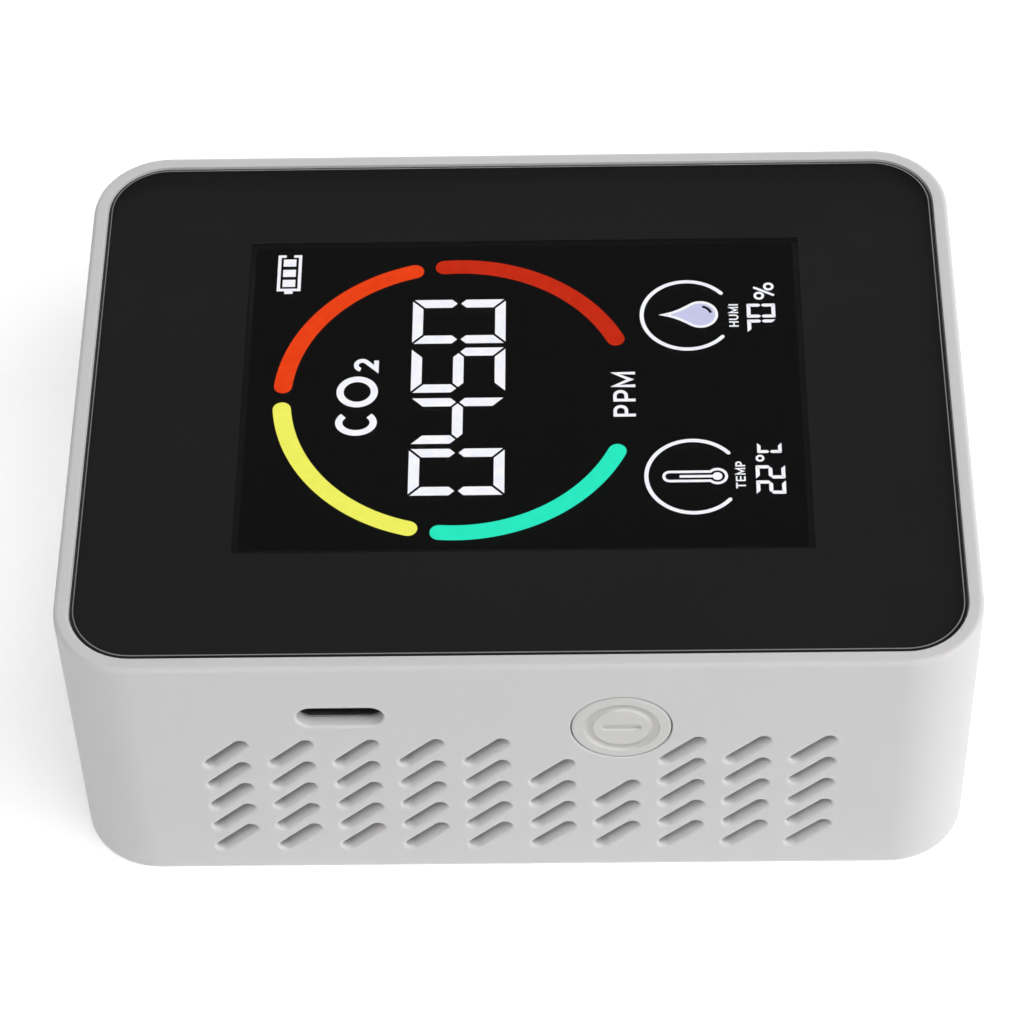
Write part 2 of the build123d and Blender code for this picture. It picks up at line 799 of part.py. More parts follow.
with BuildPart() as battery_header:
    with BuildSketch(Plane.XY.offset(header_bottom)):
        with Locations((header_x, battery_y)):
            Rectangle(header_width, header_length)
    extrude(amount=header_height)
    with BuildSketch(Plane.XY.offset(header_bottom)):
        with Locations((header_x, battery_y)):
            Rectangle(header_width - 2 * header_wall, header_length - 2 * header_wall)
    extrude(amount=plug_seat, mode=Mode.SUBTRACT)
battery_header.part.label = "battery_header"
export_step(battery_header.part, "parts/battery_header.step")

with BuildPart() as battery_plug:
    with BuildSketch(Plane.XY.offset(plug_bottom)):
        with Locations((header_x, battery_y)):
            Rectangle(
                header_width - 2 * (header_wall + plug_clearance),
                header_length - 2 * (header_wall + plug_clearance),
            )
    extrude(amount=plug_height)
battery_plug.part.label = "battery_plug"
export_step(battery_plug.part, "parts/battery_plug.step")

with BuildPart() as battery_leads:
    for lead_y in (battery_y - lead_spacing / 2, battery_y + lead_spacing / 2):
        with BuildLine() as lead_path:
            FilletPolyline(
                (battery_x + battery_length / 2, lead_y, lead_z),
                (header_x, lead_y, lead_z),
                (header_x, lead_y, plug_bottom),
                radius=lead_bend,
            )
        with BuildSketch(Plane(origin=lead_path.line @ 0, z_dir=lead_path.line % 0)):
            Circle(lead_radius)
        sweep()
battery_leads.part.label = "battery_leads"
export_step(battery_leads.part, "parts/battery_leads.step")

# ---- back cover ---------------------------------------------------------------------------

with BuildPart() as back_cover:
    with BuildSketch():
        RectangleRounded(
            cavity_length - 2 * cover_clearance,
            cavity_width - 2 * cover_clearance,
            cavity_radius - cover_clearance,
        )
    extrude(amount=cover_thickness)
    chamfer(back_cover.edges().group_by(Axis.Z)[0], cover_edge_chamfer)
    # Rib round the battery
    with BuildSketch(Plane.XY.offset(cover_thickness)):
        bay_length = battery_length + 2 * bay_clearance
        bay_width = battery_width + 2 * bay_clearance
        with Locations(battery_center):
            Rectangle(bay_length + 2 * bay_rib_thickness, bay_width + 2 * bay_rib_thickness)
            Rectangle(bay_length, bay_width, mode=Mode.SUBTRACT)
    extrude(amount=bay_rib_height)
    # Holes with sunk seats for the screw heads
    with BuildSketch():
        with Locations(*boss_places):
            Circle(cover_screw_shank + cover_hole_gap)
    extrude(amount=cover_thickness, mode=Mode.SUBTRACT)
    with BuildSketch():
        with Locations(*boss_places):
            Circle(cover_screw_head_radius + cover_screw_seat_gap)
    extrude(amount=cover_screw_sink + cover_screw_head, mode=Mode.SUBTRACT)
back_cover.part.label = "back_cover"
export_step(back_cover.part, "parts/back_cover.step")

with BuildPart() as cover_screws:
    with BuildSketch(Plane.XY.offset(cover_screw_sink)):
        with Locations(*boss_places):
            Circle(cover_screw_head_radius)
    extrude(amount=cover_screw_head)
    fillet(cover_screws.edges().group_by(Axis.Z)[0], screw_head_fillet)
    with BuildSketch(Plane.XY.offset(cover_screw_sink + cover_screw_head)):
        with Locations(*boss_places):
            Circle(cover_screw_shank)
    extrude(amount=cover_screw_length)
    with BuildSketch(Plane.XY.offset(cover_screw_sink)):
        with Locations(*boss_places):
            Rectangle(screw_recess_length, screw_recess_width)
            Rectangle(screw_recess_width, screw_recess_length)
    extrude(amount=screw_recess_depth, mode=Mode.SUBTRACT)
cover_screws.part.label = "cover_screws"
export_step(cover_screws.part, "parts/cover_screws.step")
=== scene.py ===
import json
import math

import bmesh
import bpy
from mathutils import Matrix, Vector


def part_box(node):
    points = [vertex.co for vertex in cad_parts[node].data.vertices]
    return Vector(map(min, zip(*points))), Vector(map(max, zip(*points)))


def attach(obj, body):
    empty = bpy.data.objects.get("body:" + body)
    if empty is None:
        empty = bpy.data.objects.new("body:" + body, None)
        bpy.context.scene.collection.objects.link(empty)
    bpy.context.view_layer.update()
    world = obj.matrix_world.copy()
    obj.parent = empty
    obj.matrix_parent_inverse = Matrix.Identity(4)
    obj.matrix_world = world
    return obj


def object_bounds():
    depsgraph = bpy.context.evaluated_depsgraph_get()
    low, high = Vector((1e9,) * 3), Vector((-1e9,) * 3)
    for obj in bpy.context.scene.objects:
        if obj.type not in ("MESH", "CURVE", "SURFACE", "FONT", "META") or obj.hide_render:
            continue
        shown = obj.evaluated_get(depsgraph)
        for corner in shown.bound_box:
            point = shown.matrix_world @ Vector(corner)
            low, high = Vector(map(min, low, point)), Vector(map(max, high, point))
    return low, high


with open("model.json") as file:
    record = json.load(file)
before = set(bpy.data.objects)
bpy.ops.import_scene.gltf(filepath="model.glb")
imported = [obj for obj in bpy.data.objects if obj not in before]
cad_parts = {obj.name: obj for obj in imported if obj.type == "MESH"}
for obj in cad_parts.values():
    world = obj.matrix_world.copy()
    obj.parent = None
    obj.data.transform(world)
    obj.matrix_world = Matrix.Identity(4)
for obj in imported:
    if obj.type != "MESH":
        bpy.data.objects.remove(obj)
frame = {"nodes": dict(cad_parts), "record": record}
cad_low, cad_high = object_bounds()

MM = 0.001

# ---- camera ---------------------------------------------------------------------------------

CAMERA_LENS = 131.0
CAMERA_SENSOR = 36.0
CAMERA_NEAREST = 0.01                    # metres
CAMERA_ELEVATION = math.radians(50.82)
CAMERA_AZIMUTH = math.radians(1.857)
CAMERA_ROLL = math.radians(-2.035)
CAMERA_DISTANCE = 374.93 * MM
CAMERA_AIM = Vector((-0.6, -15.49, 0.0)) * MM   # from the middle of the lens


def make_camera():
    """The one camera, aimed at the front half of the lens from above the vented wall."""
    middle = (cad_low + cad_high) / 2
    aim = Vector((middle.x, middle.y, cad_high.z)) + CAMERA_AIM
    back = Vector((
        math.sin(CAMERA_AZIMUTH) * math.cos(CAMERA_ELEVATION),
        -math.cos(CAMERA_AZIMUTH) * math.cos(CAMERA_ELEVATION),
        math.sin(CAMERA_ELEVATION),
    ))
    right = Vector((math.cos(CAMERA_AZIMUTH), math.sin(CAMERA_AZIMUTH), 0))
    up = back.cross(right)
    rolled_right = right * math.cos(CAMERA_ROLL) + up * math.sin(CAMERA_ROLL)
    rolled_up = back.cross(rolled_right)
    turn = Matrix((rolled_right, rolled_up, back)).transposed()
    data = bpy.data.cameras.new("camera")
    data.lens = CAMERA_LENS
    data.sensor_width = CAMERA_SENSOR
    data.clip_start = CAMERA_NEAREST
    camera = bpy.data.objects.new("camera", data)
    camera.matrix_world = Matrix.Translation(aim + back * CAMERA_DISTANCE) @ turn.to_4x4()
    bpy.context.scene.collection.objects.link(camera)
    bpy.context.scene.camera = camera


# ---- light and floor ------------------------------------------------------------------------

# Name, place, width and height in metres, and radiance. No box stands where the lens would
# mirror it into the camera, or into a view from straight above.
SOFTBOXES = (
    ("high_front_box", (0.05, -0.48, 1.15), 1.1, 0.48, 6.6),
    ("right_box", (1.1, -0.27, 0.45), 0.8, 0.8, 4.3),
    ("left_box", (-1.1, -0.35, 0.5), 0.7, 0.7, 0.3),
    ("back_box", (0.1, 1.3, 0.45), 0.8, 0.8, 3.4),
)
LIGHT_TARGET = (0, 0, 0.02)
ROOM_LIGHT = 0.06
FLOOR_HALF = 3.0
FLOOR_SQUARES = 8
FLOOR_GAP = 0.02 * MM
FLOOR_COLOUR = (0.95, 0.95, 0.95)
FLOOR_ROUGHNESS = 0.85


def add_softbox(name, place, width, height, radiance):
    """A soft box that faces the monitor. Its radiance doesn't depend on its size."""
    data = bpy.data.lights.new(name, "AREA")
    data.shape = "RECTANGLE"
    data.size = width
    data.size_y = height
    data.energy = radiance * math.pi * width * height
    light = bpy.data.objects.new(name, data)
    light.location = place
    light.rotation_euler = (Vector(LIGHT_TARGET) - Vector(place)).to_track_quat("-Z", "Y").to_euler()
    bpy.context.scene.collection.objects.link(light)


def light_scene():
    """Soft studio light: large boxes high in front, right, left and behind, and a dim room."""
    world = bpy.data.worlds.new("studio")
    bpy.context.scene.world = world
    world.use_nodes = True
    background = world.node_tree.nodes["Background"]
    background.inputs["Color"].default_value = (1, 1, 1, 1)
    background.inputs["Strength"].default_value = ROOM_LIGHT
    for softbox in SOFTBOXES:
        add_softbox(*softbox)
    view = bpy.context.scene.view_settings
    view.view_transform = "Standard"
    view.look = "None"


def make_floor():
    """A plain pale table top, just under the monitor. It gives off a little light of its own."""
    mesh = bpy.data.meshes.new("floor")
    form = bmesh.new()
    bmesh.ops.create_grid(form, x_segments=FLOOR_SQUARES, y_segments=FLOOR_SQUARES, size=FLOOR_HALF)
    form.to_mesh(mesh)
    form.free()
    floor = bpy.data.objects.new("floor", mesh)
    floor.location.z = cad_low.z - FLOOR_GAP
    bpy.context.scene.collection.objects.link(floor)
    look = {"mottle": 0.004, "glow": 0.26, "specular": 0.2}
    mesh.materials.append(plain_surface("floor_white", FLOOR_COLOUR, FLOOR_ROUGHNESS, **look))


# ---- materials ------------------------------------------------------------------------------

GRAIN_SCALE = 9000.0             # cells per metre
GRAIN_DEPTH = 0.02 * MM
MOTTLE_SCALE = 60.0
NOISE_LOW, NOISE_HIGH = 0.3, 0.7     # where almost all of a noise's values lie
MIX_FACTOR, MIX_FIRST, MIX_SECOND = 0, 6, 7     # the Mix node's sockets for colours
MIX_RESULT = 2
ACRYLIC_IOR = 1.49
SHELL_COLOUR = (0.605, 0.597, 0.602)
SHELL_ROUGHNESS = 0.52
COVER_ROUGHNESS = 0.58
BUTTON_COLOUR = (0.575, 0.569, 0.560)
BRUSHED = (1, 14, 1)             # stretches noise into fine lines along x

# Colour and roughness of each slot that has a plain surface, and how it differs from the usual
PLAIN_SURFACES = {
    "button_white": (BUTTON_COLOUR, 0.40, {"grain": 0.1, "mottle": 0.01}),
    "mask_black": ((0.0135, 0.0135, 0.0135), 0.6, {"grain": 0.1, "specular": 0.1}),
    "tape_black": ((0.02, 0.02, 0.02), 0.8, {}),
    "display_steel": ((0.5, 0.51, 0.53), 0.35, {"metallic": 1.0, "stretch": BRUSHED}),
    "display_glass": ((0.002, 0.002, 0.0022), 0.4, {"grain": 0.05, "specular": 0.05}),
    "display_field": ((0.001, 0.001, 0.001), 0.5, {"grain": 0.05, "specular": 0.0}),
    "backlight_white": ((0.8, 0.8, 0.8), 0.6, {}),
    "flex_amber": ((0.42, 0.19, 0.04), 0.35, {"stretch": BRUSHED, "mottle": 0.12}),
    "connector_black": ((0.02, 0.02, 0.022), 0.5, {}),
    "plunger_black": ((0.03, 0.03, 0.03), 0.5, {}),
    "carrier_black": ((0.03, 0.03, 0.032), 0.6, {}),
    "screw_steel": ((0.52, 0.52, 0.53), 0.32, {"metallic": 1.0, "mottle": 0.08}),
    "usb_steel": ((0.66, 0.66, 0.67), 0.24, {"metallic": 1.0, "stretch": BRUSHED}),
    "chip_black": ((0.015, 0.015, 0.016), 0.6, {"mottle": 0.15}),
    "inductor_grey": ((0.09, 0.09, 0.1), 0.75, {"mottle": 0.2}),
    "sensor_case": ((0.68, 0.68, 0.66), 0.35, {}),
    "filter_white": ((0.78, 0.78, 0.78), 0.95, {"grain": 0.8}),
    "pin_brass": ((0.78, 0.6, 0.28), 0.3, {"metallic": 1.0}),
    "battery_foil": ((0.58, 0.59, 0.61), 0.4, {"metallic": 1.0, "grain": 0.5, "mottle": 0.1}),
    "lead_red": ((0.33, 0.02, 0.02), 0.45, {}),
    "plug_white": ((0.7, 0.68, 0.62), 0.5, {}),
}

# Colour of each lit part of the display, and how it differs from the usual
LIT_PARTS = {
    "display_white": ((1.0, 1.0, 1.0), {"dimmer": (0.9, 0.9, 1.0), "strength": 1.08}),
    "display_lavender": ((0.66, 0.66, 0.93), {}),
    "display_red": ((0.66, 0.023, 0.001), {"dimmer": (0.56, 0.018, 0.001)}),
    "display_orange": ((0.94, 0.062, 0.002), {"dimmer": (0.86, 0.045, 0.002)}),
    "display_yellow": ((1.0, 1.0, 0.13), {}),
    "display_turquoise": ((0.02, 0.93, 0.60), {}),
}
LIT_DIMMING = 0.93               # how bright the dimmer spots are, where no colour is given


def start_material(name):
    """A new node material, with its node tree and its main shader."""
    material = bpy.data.materials.new(name)
    material.use_nodes = True
    tree = material.node_tree
    return material, tree, tree.nodes["Principled BSDF"]


def add_node(tree, kind, **values):
    """A node of this kind, with inputs set by name."""
    node = tree.nodes.new(kind)
    for key, value in values.items():
        node.inputs[key.replace("_", " ")].default_value = value
    return node


def noise(tree, scale, detail=3.0, stretch=(1, 1, 1)):
    """Noise in the monitor's own coordinates. scale is in cells per metre."""
    coordinates = tree.nodes.new("ShaderNodeTexCoord")
    mapping = add_node(tree, "ShaderNodeMapping", Scale=stretch)
    texture = add_node(tree, "ShaderNodeTexNoise", Scale=scale, Detail=detail)
    tree.links.new(coordinates.outputs["Object"], mapping.inputs["Vector"])
    tree.links.new(mapping.outputs["Vector"], texture.inputs["Vector"])
    return texture.outputs["Fac"]


def ranged(tree, factor, low, high):
    """A factor stretched to run from low to high."""
    node = add_node(tree, "ShaderNodeMapRange", To_Min=low, To_Max=high)
    node.inputs["From Min"].default_value = NOISE_LOW
    node.inputs["From Max"].default_value = NOISE_HIGH
    tree.links.new(factor, node.inputs["Value"])
    return node.outputs["Result"]


def mixed_colour(tree, factor, first, second):
    """A colour that runs from first to second with the factor."""
    node = tree.nodes.new("ShaderNodeMix")
    node.data_type = "RGBA"
    node.inputs[MIX_FIRST].default_value = (*first, 1)
    node.inputs[MIX_SECOND].default_value = (*second, 1)
    tree.links.new(factor, node.inputs[MIX_FACTOR])
    return node.outputs[MIX_RESULT]


def add_bump(tree, shader, height, strength, distance):
    """Bump from a height, to the shader's normal."""
    node = add_node(tree, "ShaderNodeBump", Strength=strength, Distance=distance)
    tree.links.new(height, node.inputs["Height"])
    tree.links.new(node.outputs["Normal"], shader.inputs["Normal"])


def scaled(colour, factor):
    """A colour made lighter or darker."""
    return tuple(c * factor for c in colour)


def plain_surface(name, colour, roughness, metallic=0.0, grain=0.3, mottle=0.04,
                  stretch=(1, 1, 1), specular=0.5, glow=0.0):
    """A surface with slight mottling, uneven gloss and a fine grain."""
    material, tree, shader = start_material(name)
    shader.inputs["Metallic"].default_value = metallic
    shader.inputs["Specular IOR Level"].default_value = specular
    tone = ranged(tree, noise(tree, MOTTLE_SCALE, 4.0, stretch), 0.0, 1.0)
    colours = mixed_colour(tree, tone, scaled(colour, 1 - mottle), scaled(colour, 1 + mottle))
    tree.links.new(colours, shader.inputs["Base Color"])
    if glow:
        tree.links.new(colours, shader.inputs["Emission Color"])
        shader.inputs["Emission Strength"].default_value = glow
    wear = noise(tree, MOTTLE_SCALE * 5, 5.0, stretch)
    gloss = ranged(tree, wear, roughness * 0.88, roughness * 1.12)
    tree.links.new(gloss, shader.inputs["Roughness"])
    add_bump(tree, shader, noise(tree, GRAIN_SCALE, 2.0, stretch), grain, GRAIN_DEPTH)
    return material


def shell_plastic(name, colour, roughness):
    """Moulded satin plastic that light enters a little: fine grain, faint flow marks, uneven gloss."""
    material, tree, shader = start_material(name)
    flow = ranged(tree, noise(tree, 28.0, 3.0, (1, 1, 0.4)), 0.0, 1.0)
    clean = mixed_colour(tree, flow, scaled(colour, 0.988), scaled(colour, 1.008))
    tree.links.new(clean, shader.inputs["Base Color"])
    gloss = ranged(tree, noise(tree, 140.0, 6.0), roughness * 0.9, roughness * 1.1)
    tree.links.new(gloss, shader.inputs["Roughness"])
    shader.inputs["Specular IOR Level"].default_value = 0.42
    shader.inputs["Subsurface Weight"].default_value = 0.6
    shader.inputs["Subsurface Radius"].default_value = (1.0, 0.95, 0.9)
    shader.inputs["Subsurface Scale"].default_value = 0.9 * MM
    add_bump(tree, shader, noise(tree, 5200.0, 3.0), 0.22, 0.03 * MM)
    return material


def clear_lens(name):
    """Clear cast sheet. Lamps shine through it, and its gloss has faint wiping marks."""
    material, tree, shader = start_material(name)
    shader.inputs["Base Color"].default_value = (0.97, 0.975, 0.98, 1)
    shader.inputs["Transmission Weight"].default_value = 1.0
    shader.inputs["IOR"].default_value = ACRYLIC_IOR
    wiping = noise(tree, 70.0, 6.0, (1, 3, 1))
    tree.links.new(ranged(tree, wiping, 0.01, 0.035), shader.inputs["Roughness"])
    passing = tree.nodes.new("ShaderNodeBsdfTransparent")
    passing.inputs["Color"].default_value = (0.93, 0.93, 0.93, 1)
    rays = tree.nodes.new("ShaderNodeLightPath")
    either = tree.nodes.new("ShaderNodeMixShader")
    tree.links.new(rays.outputs["Is Shadow Ray"], either.inputs[0])
    tree.links.new(shader.outputs[0], either.inputs[1])
    tree.links.new(passing.outputs[0], either.inputs[2])
    tree.links.new(either.outputs[0], tree.nodes["Material Output"].inputs["Surface"])
    return material


def ground_edge(name):
    """The lens's ground bevel: the same clear sheet with a fine matt surface."""
    material, tree, shader = start_material(name)
    shader.inputs["Base Color"].default_value = (0.5, 0.51, 0.53, 1)
    shader.inputs["Transmission Weight"].default_value = 0.6
    shader.inputs["IOR"].default_value = ACRYLIC_IOR
    tree.links.new(ranged(tree, noise(tree, 900.0, 4.0), 0.28, 0.42), shader.inputs["Roughness"])
    add_bump(tree, shader, noise(tree, 15000.0, 2.0), 0.2, 0.02 * MM)
    return material


def lit(name, colour, dimmer=None, strength=1.0):
    """A lit part of the display: its own light with finely spread dimmer spots, on black glass."""
    material, tree, shader = start_material(name)
    shader.inputs["Base Color"].default_value = (0.002, 0.002, 0.002, 1)
    shader.inputs["Roughness"].default_value = 0.6
    shader.inputs["Specular IOR Level"].default_value = 0.0
    cells = ranged(tree, noise(tree, 900.0, 2.0), 0.0, 1.0)
    colours = mixed_colour(tree, cells, dimmer or scaled(colour, LIT_DIMMING), colour)
    tree.links.new(colours, shader.inputs["Emission Color"])
    shader.inputs["Emission Strength"].default_value = strength
    return material


def circuit_green(name):
    """Solder mask over straight copper tracks."""
    material, tree, shader = start_material(name)
    coordinates = tree.nodes.new("ShaderNodeTexCoord")
    tracks = add_node(tree, "ShaderNodeTexBrick", Scale=130.0)
    tracks.inputs["Color1"].default_value = (0.012, 0.075, 0.032, 1)
    tracks.inputs["Color2"].default_value = (0.018, 0.11, 0.045, 1)
    tracks.inputs["Mortar"].default_value = (0.03, 0.17, 0.07, 1)
    tracks.inputs["Mortar Size"].default_value = 0.03
    tree.links.new(coordinates.outputs["Object"], tracks.inputs["Vector"])
    tree.links.new(tracks.outputs["Color"], shader.inputs["Base Color"])
    tree.links.new(ranged(tree, noise(tree, 400.0), 0.25, 0.4), shader.inputs["Roughness"])
    add_bump(tree, shader, tracks.outputs["Fac"], 0.3, 0.03 * MM)
    return material


def make_materials():
    """Every material by name. Most are named after the record's slot that they finish."""
    cover_colour = scaled(SHELL_COLOUR, 0.98)
    made = {
        "shell_white": shell_plastic("shell_white", SHELL_COLOUR, SHELL_ROUGHNESS),
        "cover_white": shell_plastic("cover_white", cover_colour, COVER_ROUGHNESS),
        "lens_clear": clear_lens("lens_clear"),
        "lens_edge": ground_edge("lens_edge"),
        "board_green": circuit_green("board_green"),
    }
    for name, (colour, roughness, differences) in PLAIN_SURFACES.items():
        made[name] = plain_surface(name, colour, roughness, **differences)
    for name, (colour, differences) in LIT_PARTS.items():
        made[name] = lit(name, colour, **differences)
    return made


def paint_nodes(materials):
    """Gives each CAD node its slot's material."""
    for part in frame["record"]["subparts"]:
        mesh = frame["nodes"][part["node"]].data
        mesh.materials.clear()
        mesh.materials.append(materials[part["material_slot"]])
    grind_lens_edge(materials["lens_edge"])


def grind_lens_edge(material):
    """Gives the small bevel round the lens's top its ground finish. Only it leans this little."""
    flattest, steepest = 0.999, 0.95
    mesh = frame["nodes"]["front_lens"].data
    mesh.materials.append(material)
    ground = len(mesh.materials) - 1
    for face in mesh.polygons:
        if steepest < face.normal.z < flattest:
            face.material_index = ground


# ---- flat shapes of the display -------------------------------------------------------------
# The display reads along +Y, with its top towards -X. Its layout is in millimetres from the
# middle of the window: u to the reader's right, v up. A shape is an outline and its holes, and
# each symbol is a list of shapes.

GLYPH_THICKNESS = 0.03 * MM
LAYER_GAP = 0.006 * MM
DEGREES_PER_STEP = 5
SHARPEST_MITRE = 0.4             # limits how far a mitred corner sticks out
ROUND_END_STEPS = 10


def arc(centre, radius, start, end, steps=None):
    """Points on an arc, with angles in degrees anticlockwise from u. radius may be (along u, along v)."""
    across, along = radius if isinstance(radius, tuple) else (radius, radius)
    count = steps or max(6, round(abs(end - start) / DEGREES_PER_STEP))
    points = []
    for i in range(count + 1):
        angle = math.radians(start + (end - start) * i / count)
        points.append((centre[0] + across * math.cos(angle), centre[1] + along * math.sin(angle)))
    return points


def circle(centre, radius, count):
    """Points all round a circle or an ellipse, none of them twice."""
    return arc(centre, radius, 0, 360 - 360 / count, count - 1)


def side_points(points, width, closed):
    """The points half a width to the left and to the right of a path, with mitred corners."""
    left, right = [], []
    count = len(points)
    for i, point in enumerate(points):
        before = points[i - 1] if i or closed else None
        after = points[(i + 1) % count] if i < count - 1 or closed else None
        here = Vector(point)
        runs = []
        if before is not None:
            runs.append((here - Vector(before)).normalized())
        if after is not None:
            runs.append((Vector(after) - here).normalized())
        along = sum(runs, Vector((0, 0))).normalized()
        normal = Vector((-along.y, along.x))
        reach = width / 2 / max(SHARPEST_MITRE, normal.dot(Vector((-runs[0].y, runs[0].x))))
        left.append(tuple(here + normal * reach))
        right.append(tuple(here - normal * reach))
    return left, right


def stroke(points, width, round_ends=True):
    """A stroke along an open path."""
    left, right = side_points(points, width, False)
    outline = list(left)
    if round_ends:
        outline += half_round(points[-1], points[-2], width)
    outline += reversed(right)
    if round_ends:
        outline += half_round(points[0], points[1], width)
    return [[outline]]


def half_round(end, inner, width):
    """Points of a round end, without its two corners, going clockwise."""
    facing = math.degrees(math.atan2(end[1] - inner[1], end[0] - inner[0]))
    return arc(end, width / 2, facing + 90, facing - 90, ROUND_END_STEPS)[1:-1]


def loop(points, width):
    """A closed stroke."""
    left, right = side_points(points, width, True)
    return [[left, right]]


def ring(centre, radius, width):
    """A round closed stroke."""
    return loop(circle(centre, radius, 72), width)


def moved(shapes, du, dv):
    """Shapes moved across the display."""
    return [[[(u + du, v + dv) for u, v in outline] for outline in shape] for shape in shapes]


# Seven-segment figures


def segments(width, height, thick, gap):
    """Outlines of the seven segments, a to g, with mitred corners and pointed middle ends."""
    half = height / 2
    notch = gap * 0.7            # a mitred gap, measured along the segment
    near = thick / 2

    def mirrored(outline, flip_u, flip_v):
        """An outline turned over, left to right or top to bottom."""
        return [(width - u if flip_u else u, height - v if flip_v else v) for u, v in outline]

    top = [
        (notch, height), (width - notch, height),
        (width - thick - notch, height - thick), (thick + notch, height - thick),
    ]
    upper_left = [
        (0, height - notch), (thick, height - thick - notch),
        (thick, half + near + notch), (near, half + notch), (0, half + near + notch),
    ]
    middle = [
        (near + notch, half), (thick + notch, half + near),
        (width - thick - notch, half + near), (width - near - notch, half),
        (width - thick - notch, half - near), (thick + notch, half - near),
    ]
    return {
        "a": top,
        "b": mirrored(upper_left, True, False),
        "c": mirrored(upper_left, True, True),
        "d": mirrored(top, False, True),
        "e": mirrored(upper_left, False, True),
        "f": upper_left,
        "g": middle,
    }


LIT_SEGMENTS = {"0": "abcdef", "2": "abged", "4": "fgbc", "5": "afgcd", "7": "abc", "C": "afed"}


def figure(character, width, height, thick, gap):
    """The lit segments of one character."""
    outlines = segments(width, height, thick, gap)
    return [[outlines[name]] for name in LIT_SEGMENTS[character]]


# Letters, drawn with a stroke of even width inside a box of this width and height

C_OPENING = 48                   # degrees from u to each end of the letter's arc
TWO_TURN = (165, -35)            # where the turn of a 2 starts and ends
P_BOWL = 0.29                    # radius of a P's bowl over the letter's height
M_DIP = 0.22                     # height of an M's middle point over the letter's height


def letter(character, width, height, thick):
    """Outlines of one letter of the units and labels."""
    edge = thick / 2
    w = width - edge
    h = height - edge
    mid = height / 2
    if character == "C":
        radii = (width / 2 - edge, mid - edge)
        return stroke(arc((width / 2, mid), radii, C_OPENING, 360 - C_OPENING), thick, False)
    if character == "O":
        return loop(circle((width / 2, mid), (width / 2 - edge, mid - edge), 60), thick)
    if character == "2":
        bowl = width / 2 - edge
        turn = arc((width / 2, h - bowl), bowl, *TWO_TURN)
        return stroke(turn + [(edge * 1.2, edge), (w, edge)], thick, False)
    if character == "P":
        bowl = height * P_BOWL - edge / 2
        bend = arc((w - bowl, h - bowl), bowl, 90, -90)
        path = [(thick, h)] + bend + [(thick, h - 2 * bowl)]
        return stroke([(edge, 0), (edge, height)], thick, False) + stroke(path, thick, False)
    if character == "M":
        path = [(edge, 0), (edge, h), (width / 2, height * M_DIP), (w, h), (w, 0)]
        return stroke(path, thick, False)
    if character == "H":
        bar = [(thick, mid), (width - thick, mid)]
        return (stroke([(edge, 0), (edge, height)], thick, False) + stroke(bar, thick, False)
                + stroke([(w, 0), (w, height)], thick, False))
    if character == "U":
        bowl = width / 2 - edge
        bend = arc((width / 2, bowl + edge), bowl, 180, 360)
        return stroke([(edge, height)] + bend + [(w, height)], thick, False)
    if character == "I":
        return stroke([(edge, 0), (edge, height)], thick, False)
    if character == "T":
        stem = [(width / 2, 0), (width / 2, height - thick)]
        return stroke([(0, h), (width, h)], thick, False) + stroke(stem, thick, False)
    if character == "E":
        bars = [stroke([(thick, v), (width, v)], thick, False) for v in (edge, mid, h)]
        return sum(bars, stroke([(edge, 0), (edge, height)], thick, False))
    raise ValueError(character)


def filled_mesh(name, shape):
    """A thin plate of one shape, centred on height 0."""
    curve = bpy.data.curves.new(name, "CURVE")
    curve.dimensions = "2D"
    curve.fill_mode = "BOTH"
    curve.extrude = GLYPH_THICKNESS / 2
    for outline in shape:
        spline = curve.splines.new("POLY")
        spline.points.add(len(outline) - 1)
        for point, (u, v) in zip(spline.points, outline):
            point.co = (u * MM, v * MM, 0, 1)
        spline.use_cyclic_u = True
    holder = bpy.data.objects.new(name, curve)
    mesh = bpy.data.meshes.new_from_object(holder)
    bpy.data.objects.remove(holder)
    bpy.data.curves.remove(curve)
    return mesh


def flat_piece(name, shapes, layer, material):
    """One thin piece of these shapes, laid on the display in this layer."""
    form = bmesh.new()
    for shape in shapes:
        plate = filled_mesh(name, shape)
        form.from_mesh(plate)
        bpy.data.meshes.remove(plate)
    panel_low, panel_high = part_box("display_panel")
    middle = (panel_low + panel_high) / 2
    height = panel_high.z + (layer + 1) * LAYER_GAP + (layer + 0.5) * GLYPH_THICKNESS
    reading = Matrix(((0, -1, 0), (1, 0, 0), (0, 0, 1))).to_4x4()
    form.transform(Matrix.Translation((middle.x, middle.y, height)) @ reading)
    mesh = bpy.data.meshes.new(name)
    form.to_mesh(mesh)
    form.free()
    mesh.materials.append(material)
    piece = bpy.data.objects.new(name, mesh)
    bpy.context.scene.collection.objects.link(piece)
    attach(piece, "root")


# ---- what the display shows -----------------------------------------------------------------

WINDOW_HALF = (21.3, 29.25)      # of the opening in the lens's black border
ACTIVE_MARGIN = 0.6
PICTURE_SHIFT = (-0.25, -0.18)   # the picture sits slightly off the window's middle
DIAL_CENTRE = (-0.2, 7.06)
DIAL_RADIUS = 18.2
DIAL_STROKE = 1.9
DIAL_SPAN = 70
DIAL_STEP = 80
DIAL_FIRST = -65                 # right end of the opening at the foot, degrees from u
ICON_RADIUS = 4.77
ICON_STROKE = 0.42
ICON_OPEN = 40                   # half of each icon ring's opening, degrees
HUMIDITY_ICON = (10.7, -17.0)
TEMPERATURE_ICON = (-11.35, -17.1)
DROP_MIDDLE = (10.75, -18.4)
DROP_RADIUS = 1.72
DROP_TIP = 4.0
DROP_LEAN = 32                   # degrees that the round part goes on past the half circle
DROP_HOLLOW = 1.55               # how hollow the sides are below the tip; 1 is straight
FINE_LINE = 0.3
THERMOMETER_TUBE = 0.6
THERMOMETER_BULB = 0.92
THERMOMETER_FILLING = 0.5
READING_SIZE = (6.15, 9.8, 1.1, 0.28)    # width, height, stroke and gap of the large figures
